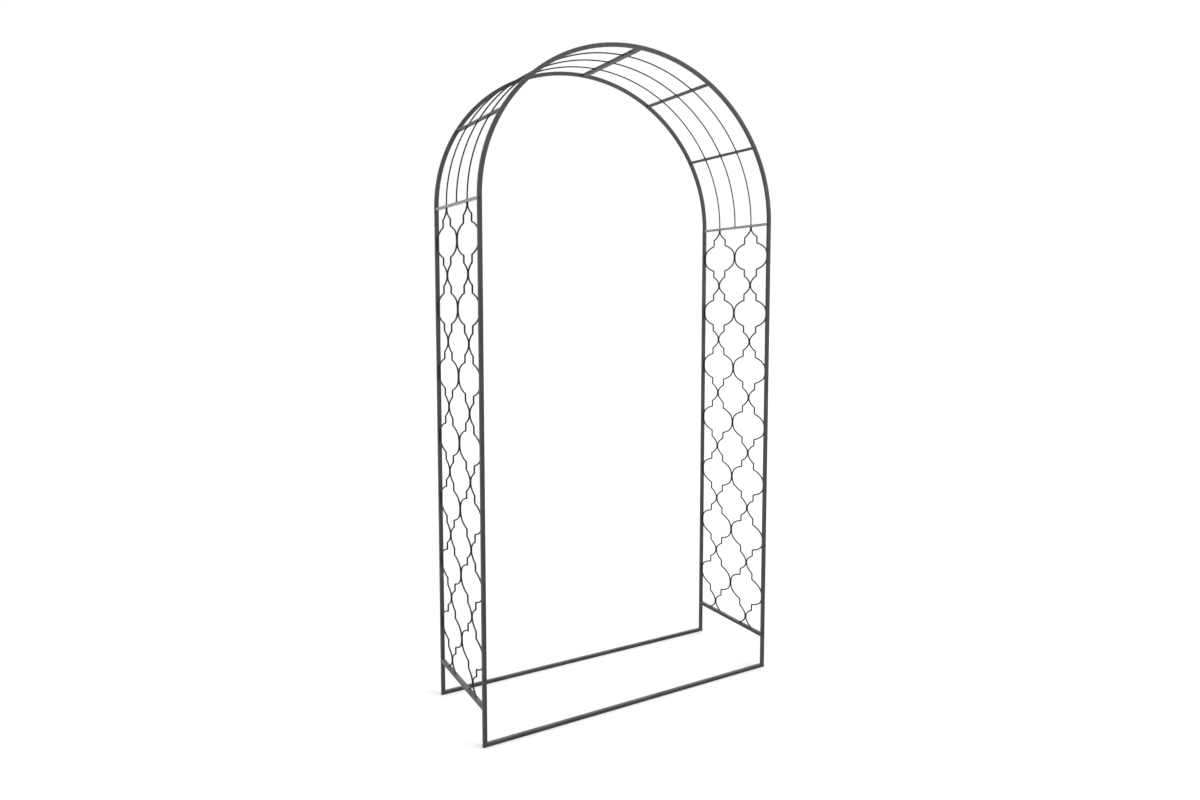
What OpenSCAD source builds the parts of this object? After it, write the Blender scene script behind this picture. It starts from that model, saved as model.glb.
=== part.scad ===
// Metal trellis arch for climbing plants: two lattice side panels carry a half-round roof in two halves.
// Square steel tube and bent round wire, welded into panels that bolt and plug together.
// X runs across the passage, Y from front (-) to back (+), Z up. Origin: centre of the ground footprint.

/* [Overall size] */
// Outer width across the passage
arch_w = 1200; // [1000:10:1440]
// Outer depth from front to back
arch_d = 520; // [430:10:625]
// Height of the spring line, where the legs end and the roof starts
spring_h = 1900; // [1580:10:2280]

/* [Frame tube] */
// Side of the square tube of the legs, roof hoops, bottom bars and ground bars
tube = 14; // [12:1:16]
// Wall of that tube
tube_wall = 1.2; // [0.8:0.1:1.5]
// Flat across each rounded outer edge of the tube
tube_edge = 1; // [0.5:0.1:1.5]
// Height of the bottom bar's centre above the ground
bottom_bar_h = 139; // [100:1:250]

/* [Roof bars and wires] */
// Side of the square tube of the crossbars, spring bars and apex bars
bar = 10; // [8:1:12]
// Wall of that tube
bar_wall = 1; // [0.8:0.1:1.2]
// Gaps between bars in each half of the roof
roof_bays = 3; // [2:1:4]
// Diameter of the three roof wires
roof_wire_d = 5; // [4:0.5:6]

/* [Lattice] */
// Thickness of the bent lattice wire
lattice_wire = 6; // [5:0.5:7]
// Lanterns from top to bottom of a panel
lantern_rows = 7; // [6:1:8]
// Wire above the middle of the top node
top_lead = 3; // [2:0.5:8]
// Wire below the middle of the last node
foot_lead = 38; // [34:1:42]
// Straight stretch where two wires lie against each other
kiss_l = 6; // [4:1:10]
// Tight bend beside a node
neck_r = 18; // [15:1:21]
// Wide bend between a node and the step
neck_shoulder_r = 95; // [80:1:105]
// Bend at the two corners of the step
step_r = 4; // [3:0.5:5]
// Tight bend beside a belly
belly_r = 38; // [32:1:42]

/* [Joints and fasteners] */
// Gap round a spigot inside its tube
spigot_gap = 0.1; // [0.05:0.05:0.3]
// Depth of a roof spigot in its leg
spigot_down = 75; // [60:5:100]
// Length of a roof spigot's neck in the hoop
spigot_up = 25; // [15:1:30]
// Height of a foot spigot above its ground bar
foot_spigot_h = 50; // [35:5:70]
// Thread diameter of the screws and bolts
bolt_d = 5; // [4:0.5:5]
// Gap round a screw in its hole, on the radius
bolt_gap = 0.1; // [0.05:0.05:0.3]
// Diameter of a domed screw head
head_d = 9; // [8:0.5:10]
// Height of a domed screw head
head_h = 2.8; // [2:0.1:3.5]
// Drop from the spring bar's centre to the spigot screw
spigot_screw_drop = 57; // [45:1:65]
// Length of thread in a spring bar insert
insert_l = 18; // [12:1:25]
// Distance of an apex bolt from the end of its bar
apex_bolt_inset = 62; // [40:1:75]
// Size of a nut across its flats
nut_af = 8; // [7:0.5:9]
// Height of a nut
nut_h = 4; // [3:0.5:5]
// Flange of a plug in a ground bar's end
plug_flange = 1.5; // [1:0.1:2.5]
// Depth of a plug in a ground bar's end
plug_l = 14; // [8:1:20]

/* [Hidden] */
$fn = 48;

LEFT = -1;
RIGHT = 1;
FRONT = -1;
REAR = 1;
PAINT = [0.27, 0.28, 0.28];
BRIGHT = [0.62, 0.63, 0.64];
PLASTIC = [0.1, 0.1, 0.11];

bolt_r = bolt_d / 2;
hole_r = bolt_r + bolt_gap;
leg_x = arch_w / 2 - tube / 2;            // a leg's centre from the middle of the passage
leg_y = arch_d / 2 - tube / 2;            // a leg's centre from the middle of the depth
clear_d = arch_d - 2 * tube;              // from the front leg to the rear leg
hoop_r = leg_x;                           // the roof is a half circle on the legs
spring_bar_z = spring_h - bar / 2;
bore = tube - 2 * tube_wall;
bar_bore = bar - 2 * bar_wall;
spigot = bore - 2 * spigot_gap;
// the neck is straight inside a curved hoop, so it is thinner by twice the curve's rise over its length
neck = bore - 2 * (spigot_gap + spigot_up * spigot_up / (2 * hoop_r));
roof_step = 90 / roof_bays;
spigot_screw_z = spring_bar_z - spigot_screw_drop;
apex_bolt_y = clear_d / 2 - apex_bolt_inset;
// a cut through a wall or a bar runs past both faces by this much
over = 1;

// ---- tube sections ----

module section(side, edge) {
    h = side / 2;
    polygon([[-h + edge, -h], [h - edge, -h], [h, -h + edge], [h, h - edge],
        [h - edge, h], [-h + edge, h], [-h, h - edge], [-h, -h + edge]]);
}

module tube_section(side, wall) {
    difference() {
        section(side, tube_edge);
        square(side - 2 * wall, center = true);
    }
}

// A straight length of tube along Y, centred
module bar_y(side, wall, length) {
    rotate([90, 0, 0])
        translate([0, 0, -length / 2])
            linear_extrude(length) tube_section(side, wall);
}

// A drilling along Y through a point
module drill_y(length) {
    rotate([90, 0, 0]) cylinder(r = hole_r, h = length, center = true);
}

// A drilling along X through a point
module drill_x(length) {
    rotate([0, 90, 0]) cylinder(r = hole_r, h = length, center = true);
}

// ---- legs ----

// The spring bar's screw crosses the leg, and the spigot screw enters from the panel side
module leg(x_side, y_side) {
    color(PAINT)
        translate([x_side * leg_x, y_side * leg_y, 0])
            difference() {
                translate([0, 0, tube]) linear_extrude(spring_h - tube) tube_section(tube, tube_wall);
                translate([0, 0, spring_bar_z]) drill_y(tube + 2 * over);
                translate([0, -y_side * tube / 2, spigot_screw_z]) drill_y(tube);
            }
}

// ---- bars of the side panels ----

module bottom_bar(x_side) {
    color(PAINT)
        translate([x_side * leg_x, 0, bottom_bar_h]) bar_y(tube, tube_wall, clear_d);
}

module spring_bar(x_side) {
    color(PAINT)
        translate([x_side * leg_x, 0, spring_bar_z]) bar_y(bar, bar_wall, clear_d);
}

// ---- lattice ----
// Each wire snakes from the spring bar to the bottom bar. It is bent from a list of [radius, turn] arcs and
// [0, length] straights, with the heading measured from straight down towards the outside of the lantern.

lattice_top = spring_h - bar;
lattice_bottom = bottom_bar_h + tube / 2;
half_period = (lattice_top - lattice_bottom - top_lead - foot_lead) / lantern_rows / 2;
column_y = clear_d / 4;                   // a column's nodes from the middle of the panel
swing = column_y - lattice_wire;          // sideways travel of a wire's centre from node to belly
neck_turn = 45;
neck_shoulder_turn = 25;
step_in_turn = neck_turn + neck_shoulder_turn;
step_out_turn = 80;
belly_shoulder_turn = 20;
belly_turn = step_out_turn - belly_shoulder_turn;
neck_run = neck_r * (1 - cos(neck_turn))
    + neck_shoulder_r * (cos(neck_turn) - cos(step_in_turn))
    + step_r * (1 - cos(step_in_turn));
neck_drop = neck_r * sin(neck_turn)
    + neck_shoulder_r * (sin(step_in_turn) - sin(neck_turn))
    + step_r * sin(step_in_turn);
// the wide bend of the belly takes up what is left of the sideways travel
belly_run = swing - neck_run - step_r * (1 - cos(step_out_turn));
belly_shoulder_r = (belly_run - belly_r * (1 - cos(belly_turn))) / (cos(belly_turn) - cos(step_out_turn));
belly_drop = step_r * sin(step_out_turn)
    + belly_shoulder_r * (sin(step_out_turn) - sin(belly_turn))
    + belly_r * sin(belly_turn);
step_l = half_period - kiss_l - neck_drop - belly_drop;

node_to_belly = [[0, kiss_l / 2], [neck_r, neck_turn], [neck_shoulder_r, neck_shoulder_turn],
    [step_r, -step_in_turn], [0, step_l], [step_r, step_out_turn],
    [belly_shoulder_r, -belly_shoulder_turn], [belly_r, -belly_turn], [0, kiss_l / 2]];
belly_to_node = [for (i = [len(node_to_belly) - 1 : -1 : 0]) node_to_belly[i]];
// past the last node the wire spreads again until the bottom bar stops it
foot = [[0, kiss_l / 2], [neck_r, neck_turn], [neck_shoulder_r, neck_shoulder_turn], [0, foot_lead]];

bends = concat([[0, top_lead]], [for (k = [1:lantern_rows]) for (s = concat(node_to_belly, belly_to_node)) s],
    foot);

arc_step = 15;

// The points of one bend, from its start at p with heading h; each is [sideways, down, heading]
function heading_dir(h) = [sin(h), cos(h)];
function bend_point(p, h, r, t) =
    let (s = sign(t), c = p + s * r * [cos(h), -sin(h)])
    c - s * r * [cos(h + t), -sin(h + t)];
function bend_count(s) = s[0] == 0 ? 1 : ceil(abs(s[1]) / arc_step);
function segment_points(p, h, s) = s[0] == 0
    ? [concat(p + s[1] * heading_dir(h), [h])]
    : [for (i = [1:bend_count(s)]) let (t = s[1] * i / bend_count(s)) concat(bend_point(p, h, s[0], t), [h + t])];
function wire_points(i, p, h) = i >= len(bends) ? []
    : let (q = segment_points(p, h, bends[i]), e = q[len(q) - 1])
    concat(q, wire_points(i + 1, [e[0], e[1]], e[2]));
centre_line = concat([[0, 0, 0]], wire_points(0, [0, 0], 0));

// One edge of the bent wire, at a distance to the side of its centre line
function wire_edge(offset) = [for (q = centre_line) [q[0] + offset * cos(q[2]), q[1] - offset * sin(q[2])]];

module wire_outline() {
    left = wire_edge(-lattice_wire / 2);
    right = wire_edge(lattice_wire / 2);
    intersection() {
        polygon(concat(left, [for (i = [len(right) - 1 : -1 : 0]) right[i]]));
        translate([-column_y, 0]) square([3 * column_y, lattice_top - lattice_bottom]);
    }
}

// Wire number 1 to 4 from front to rear: 1 and 3 swing towards the front, 2 and 4 towards the rear
module lattice_wire_piece(x_side, number) {
    y_node = number <= 2 ? -column_y : column_y;
    y_way = number % 2 == 1 ? -1 : 1;
    color(PAINT)
        translate([x_side * leg_x, y_node + y_way * lattice_wire / 2, lattice_top])
            rotate([0, 90, 0]) // sideways becomes Y and down becomes -Z
                linear_extrude(lattice_wire, center = true)
                    mirror([0, y_way < 0 ? 1 : 0])
                        rotate(90) mirror([0, 1]) wire_outline();
}

// ---- roof ----

// A quarter circle about the spring line, in the XZ plane at the given depth, from its foot up to the apex
module quarter(x_side, y) {
    translate([0, y, spring_h])
        mirror([x_side < 0 ? 1 : 0, 0, 0])
            rotate([90, 0, 0]) rotate_extrude(angle = 90, $fn = 180) translate([hoop_r, 0]) children();
}

module hoop(x_side, y_side) {
    color(PAINT)
        quarter(x_side, y_side * leg_y) tube_section(tube, tube_wall);
}

roof_wire_spacing = clear_d / 4;

module roof_wire(x_side, place) {
    color(PAINT)
        difference() {
            quarter(x_side, place * roof_wire_spacing) circle(d = roof_wire_d);
            translate([-bar, -arch_d / 2, spring_h]) cube([2 * bar, arch_d, 2 * hoop_r]);
        }
}

// A crossbar lies square to the hoops at its angle above the spring line, drilled for the three wires
module crossbar(x_side, angle) {
    color(PAINT)
        mirror([x_side < 0 ? 1 : 0, 0, 0])
            translate([0, 0, spring_h]) rotate([0, -angle, 0]) translate([hoop_r, 0, 0])
                difference() {
                    bar_y(bar, bar_wall, clear_d);
                    for (place = [-1:1])
                        translate([0, place * roof_wire_spacing, 0])
                            cylinder(r = roof_wire_d / 2 + bolt_gap, h = bar + 2 * over, center = true);
                }
}

module apex_bar(x_side) {
    color(PAINT)
        translate([x_side * bar / 2, 0, spring_h + hoop_r])
            difference() {
                bar_y(bar, bar_wall, clear_d);
                for (y_side = [FRONT, REAR])
                    translate([0, y_side * apex_bolt_y, 0]) drill_x(bar + 2 * over);
            }
}

// ---- spigots ----

// Solid square bar in the leg, with a thinner neck up into the curved hoop; tapped for the spigot screw
module roof_spigot(x_side, y_side) {
    color(BRIGHT)
        translate([x_side * leg_x, y_side * leg_y, 0])
            difference() {
                union() {
                    translate([-spigot / 2, -spigot / 2, spring_h - spigot_down])
                        cube([spigot, spigot, spigot_down]);
                    translate([-neck / 2, -neck / 2, spring_h - over]) cube([neck, neck, spigot_up + over]);
                }
                translate([0, 0, spring_bar_z]) drill_y(tube + 2 * over);
                translate([0, 0, spigot_screw_z]) drill_y(tube + 2 * over);
            }
}

// Solid square bar that stands on the ground bar inside the leg's foot
module foot_spigot(x_side, y_side) {
    color(BRIGHT)
        translate([x_side * leg_x - spigot / 2, y_side * leg_y - spigot / 2, tube])
            cube([spigot, spigot, foot_spigot_h]);
}

// ---- ground bars ----

module ground_bar(y_side) {
    color(PAINT)
        translate([0, y_side * leg_y, tube / 2])
            rotate([0, 90, 0]) linear_extrude(arch_w - 2 * plug_flange, center = true) tube_section(tube, tube_wall);
}

module ground_bar_plugs() {
    color(PLASTIC)
        for (x_side = [LEFT, RIGHT], y_side = [FRONT, REAR])
            translate([x_side * (arch_w / 2 - plug_flange), y_side * leg_y, tube / 2])
                rotate([0, x_side * 90, 0]) {
                    linear_extrude(plug_flange) section(tube, tube_edge);
                    translate([0, 0, -plug_l / 2])
                        cube([spigot, spigot, plug_l], center = true);
                }
}

// ---- screws ----

// Domed head from z = 0 up, shank from z = 0 down
module domed_screw(length) {
    rotate_extrude()
        polygon([[0, -length], [bolt_r, -length], [bolt_r, 0], [head_d / 2, 0], [head_d / 2, head_h * 0.35],
            [head_d * 0.36, head_h * 0.8], [head_d * 0.2, head_h], [0, head_h]]);
}

// Square threaded plug in each end of a spring bar
module spring_bar_inserts() {
    insert_side = bar_bore - 2 * spigot_gap;
    color(BRIGHT)
        for (x_side = [LEFT, RIGHT], y_side = [FRONT, REAR])
            translate([x_side * leg_x, y_side * (clear_d / 2 - insert_l / 2), spring_bar_z])
                difference() {
                    cube([insert_side, insert_l, insert_side], center = true);
                    drill_y(insert_l + 2 * over);
                }
}

module spring_bar_screws() {
    color(PAINT)
        for (x_side = [LEFT, RIGHT], y_side = [FRONT, REAR])
            translate([x_side * leg_x, y_side * arch_d / 2, spring_bar_z])
                rotate([-y_side * 90, 0, 0]) domed_screw(tube + insert_l - over);
}

module spigot_screws() {
    color(PAINT)
        for (x_side = [LEFT, RIGHT], y_side = [FRONT, REAR])
            translate([x_side * leg_x, y_side * clear_d / 2, spigot_screw_z])
                rotate([y_side * 90, 0, 0]) domed_screw(tube_wall + spigot_gap + spigot);
}

// The two bolts that clamp the apex bars face to face, heads on the left, nuts on the right
module apex_bolts() {
    color(PAINT)
        for (y_side = [FRONT, REAR])
            translate([-bar, y_side * apex_bolt_y, spring_h + hoop_r])
                rotate([0, -90, 0]) domed_screw(2 * bar + nut_h + over);
}

module apex_nuts() {
    color(PAINT)
        for (y_side = [FRONT, REAR])
            translate([bar, y_side * apex_bolt_y, spring_h + hoop_r])
                rotate([0, 90, 0])
                    difference() {
                        cylinder(d = nut_af / cos(30), h = nut_h, $fn = 6);
                        translate([0, 0, -over]) cylinder(r = hole_r, h = nut_h + 2 * over);
                    }
}

// ---- assembly ----

leg(LEFT, FRONT);  // left_front_leg
leg(LEFT, REAR);  // left_rear_leg
leg(RIGHT, FRONT);  // right_front_leg
leg(RIGHT, REAR);  // right_rear_leg
bottom_bar(LEFT);  // left_bottom_bar
bottom_bar(RIGHT);  // right_bottom_bar
spring_bar(LEFT);  // left_spring_bar
spring_bar(RIGHT);  // right_spring_bar
lattice_wire_piece(LEFT, 1);  // left_lattice_wire_1
lattice_wire_piece(LEFT, 2);  // left_lattice_wire_2
lattice_wire_piece(LEFT, 3);  // left_lattice_wire_3
lattice_wire_piece(LEFT, 4);  // left_lattice_wire_4
lattice_wire_piece(RIGHT, 1);  // right_lattice_wire_1
lattice_wire_piece(RIGHT, 2);  // right_lattice_wire_2
lattice_wire_piece(RIGHT, 3);  // right_lattice_wire_3
lattice_wire_piece(RIGHT, 4);  // right_lattice_wire_4
hoop(LEFT, FRONT);  // left_front_hoop
hoop(LEFT, REAR);  // left_rear_hoop
hoop(RIGHT, FRONT);  // right_front_hoop
hoop(RIGHT, REAR);  // right_rear_hoop
crossbar(LEFT, roof_step);  // left_low_crossbar
crossbar(LEFT, 2 * roof_step);  // left_high_crossbar
crossbar(RIGHT, roof_step);  // right_low_crossbar
crossbar(RIGHT, 2 * roof_step);  // right_high_crossbar
apex_bar(LEFT);  // left_apex_bar
apex_bar(RIGHT);  // right_apex_bar
roof_wire(LEFT, -1);  // left_front_roof_wire
roof_wire(LEFT, 0);  // left_middle_roof_wire
roof_wire(LEFT, 1);  // left_rear_roof_wire
roof_wire(RIGHT, -1);  // right_front_roof_wire
roof_wire(RIGHT, 0);  // right_middle_roof_wire
roof_wire(RIGHT, 1);  // right_rear_roof_wire
roof_spigot(LEFT, FRONT);  // left_front_spigot
roof_spigot(LEFT, REAR);  // left_rear_spigot
roof_spigot(RIGHT, FRONT);  // right_front_spigot
roof_spigot(RIGHT, REAR);  // right_rear_spigot
ground_bar(FRONT);  // front_ground_bar
ground_bar(REAR);  // rear_ground_bar
foot_spigot(LEFT, FRONT);  // left_front_foot_spigot
foot_spigot(LEFT, REAR);  // left_rear_foot_spigot
foot_spigot(RIGHT, FRONT);  // right_front_foot_spigot
foot_spigot(RIGHT, REAR);  // right_rear_foot_spigot
ground_bar_plugs();
spring_bar_inserts();
spring_bar_screws();
spigot_screws();
apex_bolts();
apex_nuts();
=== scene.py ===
import bpy
import numpy as np
from mathutils import Matrix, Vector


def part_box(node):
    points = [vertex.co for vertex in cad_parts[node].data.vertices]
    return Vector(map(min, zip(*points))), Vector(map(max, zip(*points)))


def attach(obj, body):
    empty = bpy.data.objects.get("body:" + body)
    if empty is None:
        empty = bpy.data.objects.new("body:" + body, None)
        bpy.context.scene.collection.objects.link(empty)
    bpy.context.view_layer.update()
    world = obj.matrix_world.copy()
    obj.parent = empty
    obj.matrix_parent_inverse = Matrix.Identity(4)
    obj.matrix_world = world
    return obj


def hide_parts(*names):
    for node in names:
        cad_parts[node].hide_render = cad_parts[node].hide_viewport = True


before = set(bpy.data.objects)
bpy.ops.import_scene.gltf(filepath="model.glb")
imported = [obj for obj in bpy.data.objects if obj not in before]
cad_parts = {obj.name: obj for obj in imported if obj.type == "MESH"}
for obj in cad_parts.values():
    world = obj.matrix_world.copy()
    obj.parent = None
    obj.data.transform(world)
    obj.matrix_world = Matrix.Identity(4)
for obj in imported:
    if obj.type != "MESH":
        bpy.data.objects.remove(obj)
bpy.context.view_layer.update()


# ---- Studio: floor, light and camera ----
# The arch stands on a pale painted floor in a white room. A broad soft light comes from high on the front
# right, and a weaker one from low on the same side, so the faces turned to the left stay darkest.

def linear(hex_colour):
    """sRGB hex to linear RGBA: each channel c becomes ((c + 0.055) / 1.055) ** 2.4, or c / 12.92
    near black."""
    channels = np.array([int(hex_colour[i:i + 2], 16) / 255 for i in (1, 3, 5)])
    made = np.where(channels <= 0.04045, channels / 12.92, ((channels + 0.055) / 1.055) ** 2.4)
    return (*made.tolist(), 1.0)


def add_node(tree, kind, settings=None, values=None, links=None):
    """Adds one node: settings are its options, values its sockets' numbers, links what feeds its sockets."""
    made = tree.nodes.new(kind)
    for key, value in (settings or {}).items():
        setattr(made, key, value)
    for key, value in (values or {}).items():
        made.inputs[key].default_value = value
    for key, source in (links or {}).items():
        tree.links.new(source, made.inputs[key])
    return made


def new_material(name):
    """An empty node material and its tree."""
    material = bpy.data.materials.new(name)
    material.use_nodes = True
    material.node_tree.nodes.clear()
    return material, material.node_tree


# White emulsion on a smooth floor: matt, with a faint roller stipple about 4 mm across
floor_paint, tree = new_material("white_emulsion_floor")
place = add_node(tree, "ShaderNodeTexCoord")
stipple = add_node(tree, "ShaderNodeTexNoise", values={"Scale": 250.0, "Detail": 2.0},
                   links={"Vector": place.outputs["Object"]})
relief = add_node(tree, "ShaderNodeBump", values={"Strength": 0.1, "Distance": 0.0002},
                  links={"Height": stipple.outputs["Fac"]})
shader = add_node(tree, "ShaderNodeBsdfPrincipled",
                  values={"Base Color": linear("#f5f5f3"), "Roughness": 0.9, "Specular IOR Level": 0.2},
                  links={"Normal": relief.outputs["Normal"]})
add_node(tree, "ShaderNodeOutputMaterial", links={"Surface": shader.outputs["BSDF"]})

floor_half = 40.0
floor_mesh = bpy.data.meshes.new("studio_floor")
floor_corners = np.array([[-1, -1, 0], [1, -1, 0], [1, 1, 0], [-1, 1, 0]], float) * floor_half
floor_corners[:, 2] = -0.0002
floor_mesh.from_pydata(floor_corners.tolist(), [], [[0, 1, 2, 3]])
floor_mesh.materials.append(floor_paint)
studio_floor = bpy.data.objects.new("studio_floor", floor_mesh)
bpy.context.scene.collection.objects.link(studio_floor)

room = bpy.data.worlds.new("white_room")
room.use_nodes = True
room.node_tree.nodes["Background"].inputs["Color"].default_value = (1.0, 1.0, 1.0, 1.0)
room.node_tree.nodes["Background"].inputs["Strength"].default_value = 1.0
bpy.context.scene.world = room
bpy.context.scene.view_settings.view_transform = "Standard"


def soft_light(name, comes_from, spread, power):
    """A broad even light from far away: comes_from points from the arch to it, and spread is its width
    in degrees."""
    lamp = bpy.data.lights.new(name, "SUN")
    lamp.angle = np.radians(spread)
    lamp.energy = power
    holder = bpy.data.objects.new(name, lamp)
    back = np.array(comes_from, float) / np.linalg.norm(comes_from)
    right = np.cross([0.0, 0.0, 1.0], back)
    right = right / np.linalg.norm(right)
    turn = np.column_stack([right, np.cross(back, right), back])
    holder.matrix_world = Matrix(turn.tolist()).to_4x4()
    bpy.context.scene.collection.objects.link(holder)


soft_light("front_soft_light", (0.45, -0.75, 0.6), 50.0, 1.2)
soft_light("low_side_light", (0.62, -0.75, 0.2), 36.0, 0.5)

camera_data = bpy.data.cameras.new("studio_camera")
camera_data.sensor_width = 36.0
camera_data.lens = 25.76
camera_data.shift_x = -0.1604
camera_data.shift_y = -0.0188
camera_data.clip_start = 0.05
camera_data.clip_end = 200.0
studio_camera = bpy.data.objects.new("studio_camera", camera_data)
studio_camera.matrix_world = Matrix((
    (0.793040, 0.033217, -0.608264, -1.5221),
    (-0.608901, 0.072914, -0.789888, -3.1802),
    (0.018113, 0.996785, 0.078050, 1.5394),
    (0.0, 0.0, 0.0, 1.0),
))
bpy.context.scene.collection.objects.link(studio_camera)
bpy.context.scene.camera = studio_camera


# ---- Ground bars ----
# Two square steel tubes that lie on the ground and tie each left leg to the right leg across the way.
# Drawn tube with rounded edges, sawn to length, deburred, and coated in satin anthracite powder.

def cad_box(node):
    """Lowest corner, highest corner and middle of a node, in millimetres."""
    low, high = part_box(node)
    low = np.array(low) * 1000
    high = np.array(high) * 1000
    return low, high, (low + high) / 2


def rounded_square(side, corner, steps=5):
    """Outline of a square tube, anticlockwise: a quarter circle on each corner's centre, and one more
    point on the flat to either side of it, so that the flats stay flat. The second result is 1 in the
    middle of an edge and 0 on the flats."""
    lean = 0.15
    first = np.arange(4)[:, None] * np.pi / 2
    turn = np.linspace(0, np.pi / 2, steps + 1)[None, :]
    angle = first + turn
    diagonal = first + np.pi / 4
    centre = (side / 2 - corner) * np.sqrt(2) * np.stack([np.cos(diagonal), np.sin(diagonal)], -1)
    arc = centre + corner * np.stack([np.cos(angle), np.sin(angle)], -1)
    before = arc[:, :1] + lean * np.stack([np.sin(first), -np.cos(first)], -1)
    after = arc[:, -1:] + lean * np.stack([-np.sin(first + np.pi / 2), np.cos(first + np.pi / 2)], -1)
    outline = np.concatenate([before, arc, after], axis=1).reshape(-1, 2)
    rub = np.concatenate([np.zeros(1), np.sin(2 * turn[0]), np.zeros(1)])
    return outline, np.tile(rub, 4)


def carry(outline, path, across, up):
    """Rings of an outline carried along a path: path point + first coordinate * across + second * up."""
    across = np.broadcast_to(across, path.shape)
    up = np.broadcast_to(up, path.shape)
    return path[:, None] + outline[None, :, :1] * across[:, None] + outline[None, :, 1:] * up[:, None]


def tube_skin(path, across, up, side, wall, corner):
    """Skin of a tube as one closed grid: the outer outline carried from end to end, then the bore's outline
    carried back. The outer outline is drawn in by the burr at the first and last ring."""
    burr = 0.35
    outer, rub = rounded_square(side, corner)
    drawn_in, _ = rounded_square(side - 2 * burr, corner - burr)
    bore, _ = rounded_square(side - 2 * wall, 0.25)
    outside = carry(outer, path, across, up)
    ends = carry(drawn_in, path, across, up)
    outside[[0, -1]] = ends[[0, -1]]
    inside = carry(bore, path, across, up)[::-1]
    wear = np.broadcast_to(rub, outside.shape[:2]).copy()
    wear[[0, -1]] = 0.8
    return np.concatenate([outside, inside]), np.concatenate([wear, np.zeros(inside.shape[:2])]), True


def sawn_length(start, end):
    """Points of a straight length from start to end, with the burr's width and a margin kept at both ends."""
    start = np.array(start, float)
    end = np.array(end, float)
    length = np.linalg.norm(end - start)
    along = np.array([0, 0.35, 1.2, length - 1.2, length - 0.35, length])[:, None]
    return start + along * (end - start) / length


def make_piece(name, grids, material, stands_for=()):
    """A closed mesh from grids of points in millimetres, each (rings, wear, closed along). Point to next
    point in a ring and ring to next ring make four-sided faces; an open grid's two ends are closed by one
    face each. A grid whose enclosed volume, the sum of a.(b x c) over its faces, is negative is turned the
    right way out."""
    points = []
    wear = []
    faces = []
    count = 0
    for rings, worn, closed in grids:
        rows, columns = rings.shape[:2]
        flat = rings.reshape(-1, 3) / 1000
        row = np.arange(rows if closed else rows - 1)[:, None]
        column = np.arange(columns)[None, :]
        next_row = (row + 1) % rows * columns
        next_column = (column + 1) % columns
        here = row * columns
        quads = np.stack([here + column, here + next_column, next_row + next_column, next_row + column], -1)
        quads = quads.reshape(-1, 4)
        a, b, c, d = (flat[quads[:, i]] - flat.mean(0) for i in range(4))
        volume = np.einsum("ij,ij->", a, np.cross(b, c)) + np.einsum("ij,ij->", a, np.cross(c, d))
        caps = [] if closed else [np.arange(columns)[::-1], (rows - 1) * columns + np.arange(columns)]
        if volume < 0:
            quads = quads[:, ::-1]
            caps = [cap[::-1] for cap in caps]
        points.append(flat)
        wear.append(np.broadcast_to(worn, (rows, columns)).reshape(-1))
        faces.extend((quads + count).tolist())
        faces.extend((cap + count).tolist() for cap in caps)
        count += len(flat)
    mesh = bpy.data.meshes.new(name)
    mesh.from_pydata(np.concatenate(points).tolist(), [], faces)
    rubbed_edges = mesh.attributes.new("edge_wear", "FLOAT", "POINT")
    rubbed_edges.data.foreach_set("value", np.concatenate(wear).astype(np.float32))
    mesh.shade_smooth()
    mesh.set_sharp_from_angle(angle=np.radians(34))
    mesh.materials.append(material)
    made = bpy.data.objects.new(name, mesh)
    bpy.context.scene.collection.objects.link(made)
    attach(made, "root")
    if stands_for:
        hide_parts(*stands_for)
    return made


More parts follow.
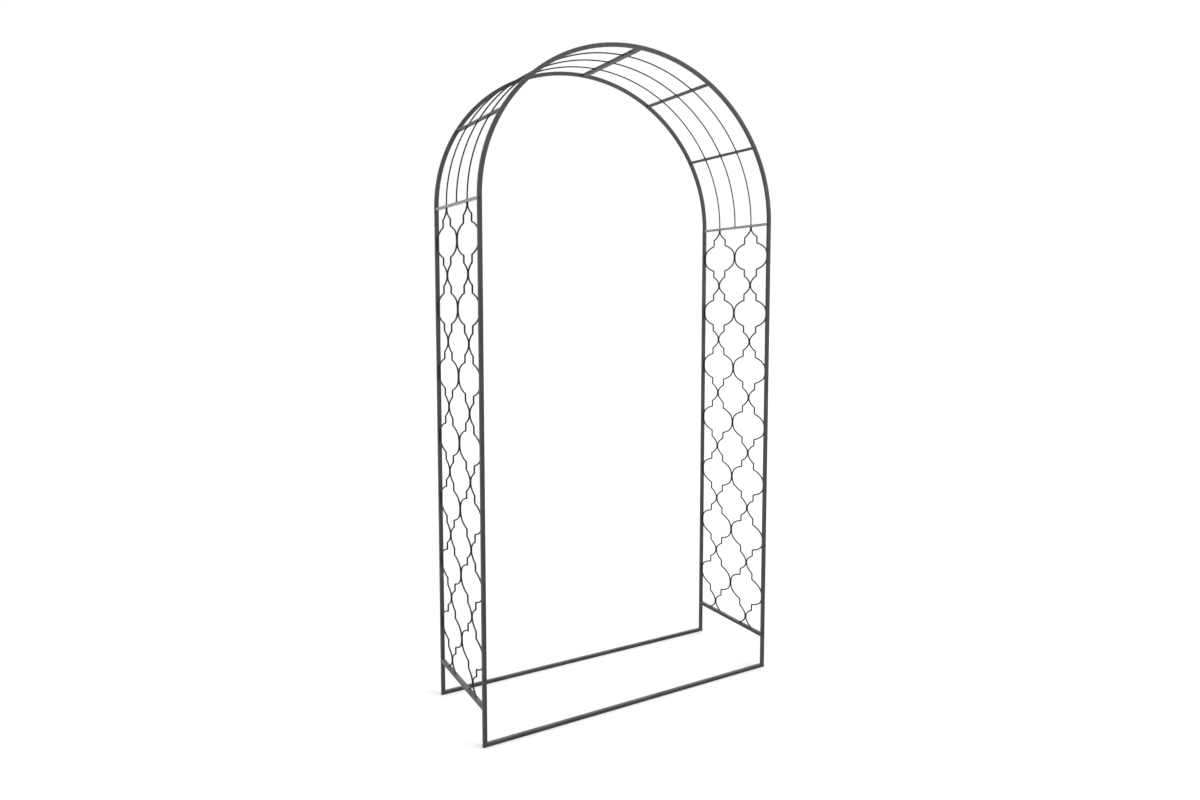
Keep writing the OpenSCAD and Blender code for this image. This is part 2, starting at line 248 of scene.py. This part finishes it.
def powder_coat(name, dark, light, edge, peel, roughness, gloss=0.35):
    """Satin polyester powder coating on steel. The powder flows out with an orange peel of about 2 mm, is a
    little paler where edges are rubbed, and holds a trace of dust on faces that look up. Scales are in
    swellings to the metre: 14 is one in 70 mm, 480 one in 2 mm and 700 one in 1.4 mm, as coarse as the
    last needs to be to show."""
    material, tree = new_material(name)
    place = add_node(tree, "ShaderNodeTexCoord").outputs["Object"]
    cloud = add_node(tree, "ShaderNodeTexNoise", values={"Scale": 14.0, "Detail": 4.0, "Roughness": 0.6},
                     links={"Vector": place})
    speck = add_node(tree, "ShaderNodeTexNoise", values={"Scale": 700.0, "Detail": 2.0},
                     links={"Vector": place})
    orange_peel = add_node(tree, "ShaderNodeTexNoise",
                           values={"Scale": 480.0, "Detail": 1.5, "Roughness": 0.4},
                           links={"Vector": place})
    spread = add_node(tree, "ShaderNodeMapRange", values={"From Min": 0.35, "From Max": 0.65},
                      links={"Value": cloud.outputs["Fac"]})
    coat = add_node(tree, "ShaderNodeMix", {"data_type": "RGBA"}, {6: linear(dark), 7: linear(light)},
                    {0: spread.outputs["Result"]})
    worn = add_node(tree, "ShaderNodeAttribute", {"attribute_name": "edge_wear"})
    patchy = add_node(tree, "ShaderNodeMath", {"operation": "MULTIPLY"},
                      links={0: worn.outputs["Fac"], 1: speck.outputs["Fac"]})
    rubbed = add_node(tree, "ShaderNodeMix", {"data_type": "RGBA"}, {7: linear(edge)},
                      {0: patchy.outputs["Value"], 6: coat.outputs[2]})
    facing = add_node(tree, "ShaderNodeNewGeometry")
    split = add_node(tree, "ShaderNodeSeparateXYZ", links={"Vector": facing.outputs["Normal"]})
    settled = add_node(tree, "ShaderNodeMapRange",
                       values={"From Min": 0.5, "From Max": 1.0, "To Max": 0.55},
                       links={"Value": split.outputs["Z"]})
    thin = add_node(tree, "ShaderNodeMath", {"operation": "MULTIPLY"},
                    links={0: settled.outputs["Result"], 1: cloud.outputs["Fac"]})
    dusted = add_node(tree, "ShaderNodeMix", {"data_type": "RGBA"}, {7: linear("#90949b")},
                      {0: thin.outputs["Value"], 6: rubbed.outputs[2]})
    sheen_spread = add_node(tree, "ShaderNodeMapRange",
                            values={"To Min": roughness - 0.07, "To Max": roughness + 0.09},
                            links={"Value": speck.outputs["Fac"]})
    relief = add_node(tree, "ShaderNodeBump", values={"Strength": peel, "Distance": 0.00006},
                      links={"Height": orange_peel.outputs["Fac"]})
    shader = add_node(tree, "ShaderNodeBsdfPrincipled", values={"IOR": 1.5, "Specular IOR Level": gloss},
                      links={"Base Color": dusted.outputs[2], "Roughness": sheen_spread.outputs["Result"],
                             "Normal": relief.outputs["Normal"]})
    add_node(tree, "ShaderNodeOutputMaterial", links={"Surface": shader.outputs["BSDF"]})
    return material


tube_coat = powder_coat("satin_powder_coat_on_tube", "#1f2123", "#2b2d2f", "#4a4c4e", 0.45, 0.42)
tube_side = 14.0
tube_wall = 1.2
tube_corner = 1.5

for node in ("front_ground_bar", "rear_ground_bar"):
    low, high, middle = cad_box(node)
    path = sawn_length((low[0], middle[1], middle[2]), (high[0], middle[1], middle[2]))
    skin = tube_skin(path, [0, 1, 0], [0, 0, 1], tube_side, tube_wall, tube_corner)
    make_piece(node + "_tube", [skin], tube_coat, [node])


# ---- Plugs in the ends of the ground bars ----
# Black polyethylene caps pushed into the tube's ends: a square stem inside and a low cushioned flange
# outside, moulded in one piece, with the slight pull of a moulding towards its middle.

plug_plastic, tree = new_material("moulded_black_polyethylene")
place = add_node(tree, "ShaderNodeTexCoord").outputs["Object"]
# Spark erosion grain of the mould, 0.7 mm, and scuffs about 6 mm long: a dull black with faint grey rubs
spark = add_node(tree, "ShaderNodeTexNoise", values={"Scale": 1400.0, "Detail": 3.0},
                 links={"Vector": place})
scuff = add_node(tree, "ShaderNodeTexNoise", values={"Scale": 160.0, "Detail": 5.0},
                 links={"Vector": place})
tone = add_node(tree, "ShaderNodeMix", {"data_type": "RGBA"}, {6: linear("#1c1d1d"), 7: linear("#2b2c2c")},
                {0: scuff.outputs["Fac"]})
gloss = add_node(tree, "ShaderNodeMapRange", values={"To Min": 0.42, "To Max": 0.66},
                 links={"Value": scuff.outputs["Fac"]})
relief = add_node(tree, "ShaderNodeBump", values={"Strength": 0.3, "Distance": 0.00005},
                  links={"Height": spark.outputs["Fac"]})
shader = add_node(tree, "ShaderNodeBsdfPrincipled", values={"IOR": 1.51},
                  links={"Base Color": tone.outputs[2], "Roughness": gloss.outputs["Result"],
                         "Normal": relief.outputs["Normal"]})
add_node(tree, "ShaderNodeOutputMaterial", links={"Surface": shader.outputs["BSDF"]})

plug_flange = 1.5
plug_stem = 11.3
plug_depth = 14.0


def plug_skin(seat, outward, across, up):
    """A plug as rings from the stem's end outwards: stem, step out to the flange, then a quarter ellipse that
    rounds the flange's edge, and last a shallow dome whose rings shrink to the middle."""
    round_off = np.linspace(0, np.pi / 2, 6)
    dome = np.array([0.72, 0.45, 0.2])
    depth = np.concatenate([[-plug_depth, -plug_depth + 1.0, 0.0, 0.0], 0.35 + 0.85 * np.sin(round_off),
                            1.2 + (plug_flange - 1.2) * (1 - dome ** 2)])
    size = np.concatenate([[plug_stem - 1.2, plug_stem, plug_stem, tube_side],
                           tube_side - 2.0 * (1 - np.cos(round_off)), (tube_side - 2.0) * dome])
    outline, _ = rounded_square(tube_side, tube_corner)
    rings = seat + depth[:, None, None] * outward + size[:, None, None] / tube_side * (
        outline[None, :, :1] * across + outline[None, :, 1:] * up)
    return rings, 0.0, False


plugs = []
for node in ("front_ground_bar", "rear_ground_bar"):
    low, high, middle = cad_box(node)
    for seat_x, way in ((low[0], -1.0), (high[0], 1.0)):
        seat = np.array([seat_x, middle[1], middle[2]])
        plugs.append(plug_skin(seat, np.array([way, 0, 0]), np.array([0, 1.0, 0]), np.array([0, 0, 1.0])))
make_piece("ground_bar_end_plugs", plugs, plug_plastic, ["ground_bar_plugs"])


# ---- Foot spigots, roof spigots and spring bar inserts ----
# Solid square steel bar, zinc plated bright, that stands inside the tubes and carries one panel on the
# next. They are cut and tapped before plating and stay as the model has them.

# Bright zinc plating: pale silver with a fine 2 mm mottle and a soft, slightly hazy shine
zinc, tree = new_material("bright_zinc_plated_steel")
place = add_node(tree, "ShaderNodeTexCoord").outputs["Object"]
spangle = add_node(tree, "ShaderNodeTexVoronoi", values={"Scale": 420.0}, links={"Vector": place})
haze = add_node(tree, "ShaderNodeTexNoise", values={"Scale": 60.0, "Detail": 4.0}, links={"Vector": place})
tone = add_node(tree, "ShaderNodeMix", {"data_type": "RGBA"}, {6: linear("#a9adb0"), 7: linear("#c9ccce")},
                {0: spangle.outputs["Distance"]})
gloss = add_node(tree, "ShaderNodeMapRange", values={"To Min": 0.25, "To Max": 0.45},
                 links={"Value": haze.outputs["Fac"]})
relief = add_node(tree, "ShaderNodeBump", values={"Strength": 0.15, "Distance": 0.00003},
                  links={"Height": haze.outputs["Fac"]})
shader = add_node(tree, "ShaderNodeBsdfPrincipled", values={"Metallic": 1.0},
                  links={"Base Color": tone.outputs[2], "Roughness": gloss.outputs["Result"],
                         "Normal": relief.outputs["Normal"]})
add_node(tree, "ShaderNodeOutputMaterial", links={"Surface": shader.outputs["BSDF"]})

for node in ("left_front_foot_spigot", "left_rear_foot_spigot", "right_front_foot_spigot",
             "right_rear_foot_spigot", "left_front_spigot", "left_rear_spigot", "right_front_spigot",
             "right_rear_spigot", "spring_bar_inserts"):
    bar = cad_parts[node]
    bar.data.materials.clear()
    bar.data.materials.append(zinc)


# ---- Legs ----
# The four uprights of the side panels: the same square tube as the ground bars, sawn square, standing on
# the ground bars and open at the top for the roof's spigots.

leg_nodes = ("left_front_leg", "left_rear_leg", "right_front_leg", "right_rear_leg")
for node in leg_nodes:
    low, high, middle = cad_box(node)
    path = sawn_length((middle[0], middle[1], low[2]), (middle[0], middle[1], high[2]))
    skin = tube_skin(path, [1, 0, 0], [0, 1, 0], tube_side, tube_wall, tube_corner)
    make_piece(node + "_tube", [skin], tube_coat, [node])


# ---- Bottom bars ----
# A short length of the same tube between the legs of each side panel, a hand's breadth above the ground.
# Welded to both legs under the coating, with a small fillet above and below.

for node in ("left_bottom_bar", "right_bottom_bar"):
    low, high, middle = cad_box(node)
    path = sawn_length((middle[0], low[1], middle[2]), (middle[0], high[1], middle[2]))
    skin = tube_skin(path, [1, 0, 0], [0, 0, 1], tube_side, tube_wall, tube_corner)
    make_piece(node + "_tube", [skin], tube_coat, [node])
panel_depth = high[1] - low[1]


# ---- Spring bars ----
# The top bar of each side panel, of lighter square tube. Its ends hold threaded inserts, so that a screw
# through each leg pulls the panel tight.

# The same coat, paled to a lighter grey as a painted reflection: these bars are the frames' dark tube, and
# only the light on their faces makes them look pale
spring_bar_painted_reflection_coat = powder_coat("satin_powder_coat_with_painted_reflection", "#767879", "#868889", "#9da0a1", 0.35, 0.42)
bar_side = 10.0
bar_wall = 1.0
bar_corner = 1.3

for node in ("left_spring_bar", "right_spring_bar"):
    low, high, middle = cad_box(node)
    path = sawn_length((middle[0], low[1], middle[2]), (middle[0], high[1], middle[2]))
    skin = tube_skin(path, [1, 0, 0], [0, 0, 1], bar_side, bar_wall, bar_corner)
    make_piece(node + "_tube", [skin], spring_bar_painted_reflection_coat, [node])


# ---- Lattice wires ----
# Four round wires in each side panel, cold bent over pins into a chain of lanterns: straight at the nodes,
# out in an ogee, a short square step, round the belly, and back. Coated with the panel after welding.

# The same satin coat, blacker and less glossy, since it lies thin on a wire
wire_coat = powder_coat("satin_powder_coat_on_wire", "#0d0e0e", "#131414", "#232524", 0.3, 0.40, 0.2)
lattice_d = 6.0
lattice_rows = 7
column_y = panel_depth / 4
kiss = 3.0
neck = [[18.0, 45.0], [95.0, 25.0]]
step_in = [4.0, -70.0]
step_out = [4.0, 80.0]
top_lead = 3.0
foot_lead = 38.0


def bent_wire(bends, degrees=6.0):
    """Centre line of a wire bent from a list of [radius, turn] and [0, length]. Each bend is cut into
    equal small turns; each small step is a chord of 2 r sin(turn / 2) on the heading halfway through its
    turn, and the points are the running sum of the chords. Returns points (sideways, down) and
    headings."""
    radius = np.array([b[0] for b in bends])
    turn = np.array([b[1] for b in bends])
    straight = radius == 0
    count = np.where(straight, 1, np.ceil(np.abs(turn) / degrees)).astype(int)
    small = np.repeat(np.where(straight, 0.0, np.radians(turn) / count), count)
    reach = np.repeat(np.where(straight, turn, 0.0), count)
    chord = reach + 2 * np.repeat(radius, count) * np.sin(np.abs(small) / 2)
    heading = np.concatenate([[0.0], np.cumsum(small)])
    halfway = heading[:-1] + small / 2
    step = chord[:, None] * np.stack([np.sin(halfway), np.cos(halfway)], -1)
    return np.concatenate([np.zeros((1, 2)), np.cumsum(step, axis=0)]), heading


# The belly's wide bend takes up what is left of the sideways travel, and the step's length what is left
# of the drop
wire_low, wire_high, _ = cad_box("left_lattice_wire_1")
wire_drop = wire_high[2] - wire_low[2]
half_period = (wire_drop - top_lead - foot_lead) / lattice_rows / 2
to_step = bent_wire([[0, kiss], *neck, step_in])[0][-1]
belly_r = 38.0
step_r = 4.0
sin80 = np.sin(np.radians(80))
cos80 = np.cos(np.radians(80))
sin60 = np.sin(np.radians(60))
cos60 = np.cos(np.radians(60))
belly_run = column_y - lattice_d - to_step[0] - step_r * (1 - cos80)
belly_wide_r = (belly_run - belly_r * (1 - cos60)) / (cos60 - cos80)
belly_drop = step_r * sin80 + belly_wide_r * (sin80 - sin60) + belly_r * sin60
step_length = half_period - to_step[1] - belly_drop - kiss
belly = [[belly_wide_r, -20.0], [belly_r, -60.0]]
half_lantern = [[0, kiss], *neck, step_in, [0, step_length], step_out, *belly, [0, kiss]]
lanterns = (half_lantern + half_lantern[::-1]) * lattice_rows
wire_line, wire_heading = bent_wire([[0, top_lead], *lanterns, [0, kiss], *neck, [0, foot_lead]])
landing = np.interp(wire_drop, wire_line[-30:, 1], wire_line[-30:, 0])
around = np.linspace(0, 2 * np.pi, 14, endpoint=False)
wire_round = lattice_d / 2 * np.stack([np.cos(around), np.sin(around)], -1)

for side in ("left", "right"):
    for number in (1, 2, 3, 4):
        node = f"{side}_lattice_wire_{number}"
        low, high, middle = cad_box(node)
        way = -1.0 if number % 2 else 1.0
        node_y = (-column_y if number < 3 else column_y) + way * lattice_d / 2
        drop = high[2] - low[2]
        kept = wire_line[:, 1] < drop - lattice_d / 2 - 0.4
        line = wire_line[kept]
        heading = wire_heading[kept]
        path = np.stack([np.full(len(line), middle[0]), node_y + way * line[:, 0],
                         high[2] - line[:, 1]], -1)
        across = np.stack([np.zeros(len(line)), way * np.cos(heading), np.sin(heading)], -1)
        rings = carry(wire_round, path, across, np.array([1.0, 0.0, 0.0]))
        ahead = np.array([0.0, way * np.sin(heading[-1]), -np.cos(heading[-1])])
        slide = (rings[-1, :, 2] - low[2]) / np.cos(heading[-1])
        landed = rings[-1] + slide[:, None] * ahead
        rings = np.concatenate([rings, landed[None]])
        make_piece(node + "_bent", [(rings, 0.0, False)], wire_coat, [node])


# ---- Welds of the side panels ----
# Small runs of weld metal that fill the nooks where two wires kiss, where a belly lies on a leg, and where
# wires and bars end. They are coated with the rest, so they show only as soft swellings.

# The same coat over rippled weld metal: rougher relief, so the swellings catch less light
weld_coat = powder_coat("satin_powder_coat_on_weld", "#0f1010", "#161717", "#262827", 0.6, 0.45, 0.2)


def nook_weld(x, y, z, half_length, bend, spread, thick):
    """Weld metal between two bent wires, or a wire and a flat bar: a flat oval section whose half width
    follows the wires' own gap, spread + r - sqrt(r^2 - (s - kiss)^2), and whose half thickness falls off
    towards both ends."""
    s = np.linspace(-1, 1, 17) * half_length
    beyond = np.maximum(np.abs(s) - kiss, 0)
    half_width = spread + bend - np.sqrt(bend ** 2 - beyond ** 2)
    ripple = 1 + 0.05 * np.sin(s * 2.6)
    half_thick = (0.25 + (thick - 0.25) * (1 - (s / half_length) ** 4)) * ripple
    angle = np.linspace(0, 2 * np.pi, 12, endpoint=False)
    across = np.sign(np.cos(angle)) * np.abs(np.cos(angle)) ** 0.7
    proud = np.sign(np.sin(angle)) * np.abs(np.sin(angle)) ** 0.7
    rings = np.stack([x + half_thick[:, None] * proud, y + half_width[:, None] * across,
                      np.broadcast_to(z + s[:, None], (17, 12))], -1)
    return rings, 0.0, False


def collar_weld(centre, axis, across, up, inner, outer, reach):
    """A fillet round a bar or wire that meets a face: a ring of sections, each from the bar's outline out
    to the outer outline on the face, with a slightly hollow slope between and its back buried in the face."""
    slope = np.linspace(0, 1, 5)[None, :, None]
    height = reach * (1 - slope) ** 1.6
    spread = inner[:, None] + (outer - inner)[:, None] * slope
    buried = np.stack([inner * 0.9, inner * 0.9], 1)
    flat = np.concatenate([spread, buried], axis=1)
    ripple = 1 + 0.06 * np.sin(np.arange(len(inner)) * 2.4)[:, None, None]
    back = np.broadcast_to(np.array([-0.4, reach * 0.9])[None, :, None], (len(inner), 2, 1))
    depth = np.concatenate([np.broadcast_to(height, spread.shape[:2] + (1,)) * ripple, back], axis=1)
    axis, across, up = (np.array(v, float) for v in (axis, across, up))
    return centre + flat[..., :1] * across + flat[..., 1:] * up + depth * axis, 0.0, True


def oval(half_a, half_b, power=1.0, count=24):
    """Outline of an oval, or with a power below 1 of a squarer shape: half size * |cos| ** power and
    half size * |sin| ** power."""
    angle = np.linspace(0, 2 * np.pi, count, endpoint=False)
    c = np.cos(angle)
    s = np.sin(angle)
    return np.stack([half_a * np.sign(c) * np.abs(c) ** power,
                     half_b * np.sign(s) * np.abs(s) ** power], -1)


leg_gap = 1.5  # from a leg's face to the middle of the weld on it

for side in ("left", "right"):
    low, high, middle = cad_box(side + "_lattice_wire_1")
    node_z = high[2] - top_lead - 2 * half_period * np.arange(lattice_rows + 1)
    belly_z = node_z[:-1] - half_period
    x = middle[0]
    welds = []
    for column in (-column_y, column_y):
        for z in node_z:
            welds.append(nook_weld(x, column, z, 12.0 if z < node_z[0] else 7.0, 18.0, 3.0, 2.6))
    for z in belly_z:
        welds.append(nook_weld(x, 0.0, z, 17.0, belly_r, 3.0, 2.6))
        for way in (-1.0, 1.0):
            welds.append(nook_weld(x, way * (panel_depth / 2 - leg_gap), z, 13.0, belly_r, 1.4, 2.5))
    # tops of the wires under the spring bar
    for column in (-column_y, column_y):
        at = np.array([x, column, high[2]])
        welds.append(collar_weld(at, [0, 0, -1], [1, 0, 0], [0, 1, 0],
                                 oval(2.8, 5.8, 0.8), oval(4.6, 8.0, 0.9), 4.0))
    # ends of the wires on the bottom bar
    for column in (-column_y, column_y):
        for way in (-1.0, 1.0):
            at = np.array([x, column + way * (landing + lattice_d / 2), low[2]])
            welds.append(collar_weld(at, [0, 0, 1], [1, 0, 0], [0, 1, 0],
                                     oval(0.6, 2.2), oval(4.0, 9.0), 2.6))
    # bottom bar to legs
    low, high, middle = cad_box(side + "_bottom_bar")
    inner = rounded_square(tube_side - 0.1, tube_corner)[0]
    outer = inner * np.array([0.985, 1.32])
    for face_y, way in ((low[1], 1.0), (high[1], -1.0)):
        at = np.array([middle[0], face_y, middle[2]])
        welds.append(collar_weld(at, [0, way, 0], [1, 0, 0], [0, 0, 1], inner, outer, 2.4))
    make_piece(side + "_panel_welds", welds, weld_coat)


# ---- Screws of the side panels ----
# Blackened steel button-head screws with a hexagon socket: one through each leg into the spring bar, and
# one below it that holds the roof's spigot.

# Black oxide on turned steel: near black with a dull metal shine, rubbed grey on the rim of the head
black_steel, tree = new_material("blackened_steel_fastener")
place = add_node(tree, "ShaderNodeTexCoord").outputs["Object"]
film = add_node(tree, "ShaderNodeTexNoise", values={"Scale": 350.0, "Detail": 5.0}, links={"Vector": place})
worn = add_node(tree, "ShaderNodeAttribute", {"attribute_name": "edge_wear"})
tone = add_node(tree, "ShaderNodeMix", {"data_type": "RGBA"}, {6: linear("#1d1e1f"), 7: linear("#303132")},
                {0: film.outputs["Fac"]})
patchy = add_node(tree, "ShaderNodeMath", {"operation": "MULTIPLY"},
                  links={0: worn.outputs["Fac"], 1: film.outputs["Fac"]})
rubbed = add_node(tree, "ShaderNodeMix", {"data_type": "RGBA"}, {7: linear("#6d6e70")},
                  {0: patchy.outputs["Value"], 6: tone.outputs[2]})
gloss = add_node(tree, "ShaderNodeMapRange", values={"To Min": 0.3, "To Max": 0.5},
                 links={"Value": film.outputs["Fac"]})
relief = add_node(tree, "ShaderNodeBump", values={"Strength": 0.2, "Distance": 0.00003},
                  links={"Height": film.outputs["Fac"]})
shader = add_node(tree, "ShaderNodeBsdfPrincipled", values={"Metallic": 0.85},
                  links={"Base Color": rubbed.outputs[2], "Roughness": gloss.outputs["Result"],
                         "Normal": relief.outputs["Normal"]})
add_node(tree, "ShaderNodeOutputMaterial", links={"Surface": shader.outputs["BSDF"]})


def screw_skin(seat, outward, across, up, shank):
    """A button-head screw as rings from the shank's end to the bottom of the socket: straight shank, flat
    under the head, a quarter ellipse up the dome, then six-sided rings, radius (flats / 2) / cos(angle
    from the middle of a flat), down into the socket."""
    angle = np.linspace(0, 2 * np.pi, 36, endpoint=False)
    hexagon = 1.5 / np.cos((angle + np.pi / 6) % (np.pi / 3) - np.pi / 6)
    circle = np.ones(36)
    dome = np.linspace(0, np.pi / 2, 7)
    radius = np.concatenate([np.array([1.9, 2.5, 2.5, 4.3, 4.5])[:, None] * circle,
                             (2.1 + 2.4 * np.cos(dome))[:, None] * circle,
                             [1.85 * circle, hexagon, hexagon, 0.3 * hexagon]])
    height = np.concatenate([[-shank, -shank + 0.6, 0, 0, 0.25], 0.6 + 2.2 * np.sin(dome),
                             [2.7, 2.35, 1.1, 0.9]])
    wear = np.zeros(radius.shape)
    wear[9:14] = 0.8
    spoke = np.cos(angle)[:, None] * across + np.sin(angle)[:, None] * up
    return seat + height[:, None, None] * outward + radius[..., None] * spoke, wear, False


spigot_screw_drop = 57.0
insert_thread = 17.0
spigot_clear = 1.4  # a spigot screw ends this much short of the leg's far face
spring_z_middle = cad_box("left_spring_bar")[2][2]
spring_screws = []
spigot_screws = []
for node in leg_nodes:
    low, high, middle = cad_box(node)
    way = np.sign(middle[1])
    outer_face = np.array([middle[0], middle[1] + way * tube_side / 2, spring_z_middle])
    spring_screws.append(screw_skin(outer_face, np.array([0, way, 0]), np.array([1.0, 0, 0]),
                                    np.array([0, 0, 1.0]), tube_side + insert_thread))
    inner_face = np.array([middle[0], middle[1] - way * tube_side / 2,
                           spring_z_middle - spigot_screw_drop])
    spigot_screws.append(screw_skin(inner_face, np.array([0, -way, 0]), np.array([1.0, 0, 0]),
                                    np.array([0, 0, 1.0]), tube_side - spigot_clear))
make_piece("spring_bar_button_screws", spring_screws, black_steel,
           ["spring_bar_screws"])
make_piece("spigot_button_screws", spigot_screws, black_steel, ["spigot_screws"])


# ---- Hoops ----
# Four quarter circles of the leg's tube, rolled to the radius of the arch. Each plugs on to a leg's spigot
# and butts against its opposite at the top of the arch.

spring_z = cad_box("left_front_leg")[1][2]
hoop_radius = cad_box("right_front_leg")[2][0]


def quarter_path(way, start, end, count, ends_kept):
    """Points on the arch's circle between two angles above the spring line, radius * (cos, sin), with the
    directions outwards from its centre. A short margin is kept at both ends where asked."""
    angle = np.linspace(start, end, count)
    if ends_kept:
        margin = np.array([0.35, 1.2]) / hoop_radius
        angle = np.concatenate([[start], start + margin, angle[1:-1], end - margin[::-1], [end]])
    out = np.stack([way * np.cos(angle), np.zeros(len(angle)), np.sin(angle)], -1)
    return np.array([0, 0, spring_z]) + hoop_radius * out, out


for node in ("left_front_hoop", "left_rear_hoop", "right_front_hoop", "right_rear_hoop"):
    low, high, middle = cad_box(node)
    path, out = quarter_path(np.sign(middle[0]), 0.0, np.pi / 2, 91, True)
    path[:, 1] = middle[1]
    skin = tube_skin(path, out, [0, 1, 0], tube_side, tube_wall, tube_corner)
    make_piece(node + "_tube", [skin], tube_coat, [node])


# ---- Crossbars ----
# Two bars in each half of the roof, of the lighter square tube, set square to the hoops and drilled for
# the three wires. Welded between the hoops.

crossbars = {"left_low_crossbar": (-1.0, 30.0), "left_high_crossbar": (-1.0, 60.0),
             "right_low_crossbar": (1.0, 30.0), "right_high_crossbar": (1.0, 60.0)}
for node, (way, degrees) in crossbars.items():
    low, high, middle = cad_box(node)
    out = np.array([way * np.cos(np.radians(degrees)), 0, np.sin(np.radians(degrees))])
    along = np.cross(out, [0, 1.0, 0])
    centre = np.array([0, 0, spring_z]) + hoop_radius * out
    path = sawn_length(centre + [0, low[1], 0], centre + [0, high[1], 0])
    skin = tube_skin(path, out, along, bar_side, bar_wall, bar_corner)
    make_piece(node + "_tube", [skin], tube_coat, [node])


# ---- Apex bars ----
# The top bar of each roof half. The two lie face to face at the top of the arch and are clamped together
# by two bolts.

for node in ("left_apex_bar", "right_apex_bar"):
    low, high, middle = cad_box(node)
    path = sawn_length((middle[0], low[1], middle[2]), (middle[0], high[1], middle[2]))
    skin = tube_skin(path, [1, 0, 0], [0, 0, 1], bar_side, bar_wall, bar_corner)
    make_piece(node + "_tube", [skin], tube_coat, [node])


# ---- Roof wires ----
# Three round wires in each roof half, rolled to the hoops' radius, threaded through the crossbars and
# welded between the spring bar and the apex bar.

roof_wire_d = 5.0
around = np.linspace(0, 2 * np.pi, 14, endpoint=False)
roof_round = roof_wire_d / 2 * np.stack([np.cos(around), np.sin(around)], -1)
apex_angle = np.arccos(bar_side / hoop_radius)
for side in ("left", "right"):
    for place_name in ("front", "middle", "rear"):
        node = f"{side}_{place_name}_roof_wire"
        low, high, middle = cad_box(node)
        path, out = quarter_path(-1.0 if side == "left" else 1.0, 0.0, apex_angle, 90, False)
        path[:, 1] = middle[1]
        rings = carry(roof_round, path, out, [0, 1, 0])
        make_piece(node + "_rolled", [(rings, 0.0, False)], wire_coat, [node])


# ---- Welds of the roof ----
# A collar of weld where each wire enters and leaves a bar, and a fillet round each end of a crossbar.

for side, way in (("left", -1.0), ("right", 1.0)):
    welds = []
    wire_y = [cad_box(f"{side}_{p}_roof_wire")[2][1] for p in ("front", "middle", "rear")]
    for degrees, reach, faces in ((0.0, 4.0, (1,)), (30.0, 8.0, (-1, 1)), (60.0, 8.0, (-1, 1))):
        angle = np.radians(degrees)
        out = np.array([way * np.cos(angle), 0, np.sin(angle)])
        along = np.array([-way * np.sin(angle), 0, np.cos(angle)])
        for y in wire_y:
            for face in faces:
                shift = 0.0 if degrees == 0 else bar_side / 2
                at = np.array([0, y, spring_z]) + hoop_radius * out + face * shift * along
                welds.append(collar_weld(at, face * along, out, [0, 1, 0],
                                         oval(2.4, 2.4), oval(4.6, 5.0), reach))
        if degrees > 0:
            inner = rounded_square(bar_side - 0.1, bar_corner)[0]
            outer = inner * np.array([1.17, 1.45])
            for face_y, turn in ((-panel_depth / 2, 1.0), (panel_depth / 2, -1.0)):
                at = np.array([0, face_y, spring_z]) + hoop_radius * out
                welds.append(collar_weld(at, [0, turn, 0], out, along, inner, outer, 2.4))
    low, high, middle = cad_box(side + "_apex_bar")
    for y in wire_y:
        at = np.array([way * bar_side, y, spring_z + hoop_radius * np.sin(apex_angle)])
        welds.append(collar_weld(at, [way, 0, 0], [0, 0, 1], [0, 1, 0],
                                 oval(2.4, 2.4), oval(4.4, 5.0), 9.0))
    make_piece(side + "_roof_welds", welds, weld_coat)


# ---- Apex bolts and nuts ----
# Two blackened button-head bolts through both apex bars, with plain hexagon nuts on the right.

bolt_end = cad_box("apex_bolts")[1][0]
bolt_z = cad_box("apex_nuts")[2][2]
bolt_inset = 62.0
bolt_y = panel_depth / 2 - bolt_inset
nut_half_flats = 4.0
bolts = []
nuts = []
for way in (-1.0, 1.0):
    seat = np.array([-bar_side, way * bolt_y, bolt_z])
    bolts.append(screw_skin(seat, np.array([-1.0, 0, 0]), np.array([0, 1.0, 0]), np.array([0, 0, 1.0]),
                            bolt_end + bar_side))
    angle = np.linspace(0, 2 * np.pi, 36, endpoint=False)
    hexagon = nut_half_flats / np.cos((angle + np.pi / 6) % (np.pi / 3) - np.pi / 6)
    chamfered = np.minimum(hexagon, 4.25)
    radius = np.stack([2.55 * np.ones(36), chamfered - 0.15, hexagon, hexagon, chamfered - 0.1,
                       3.2 * np.ones(36), 2.55 * np.ones(36)])
    height = np.array([0, 0, 0.35, 3.45, 3.9, 4.0, 3.7])
    spoke = np.cos(angle)[:, None] * np.array([0, 1.0, 0]) + np.sin(angle)[:, None] * np.array([0, 0, 1.0])
    seat = np.array([bar_side, way * bolt_y, bolt_z])
    rings = seat + height[:, None, None] * np.array([1.0, 0, 0]) + radius[..., None] * spoke
    wear = np.zeros(radius.shape)
    wear[2:5] = 0.6
    nuts.append((rings, wear, True))
make_piece("apex_button_bolts", bolts, black_steel, ["apex_bolts"])
make_piece("apex_hexagon_nuts", nuts, black_steel, ["apex_nuts"])
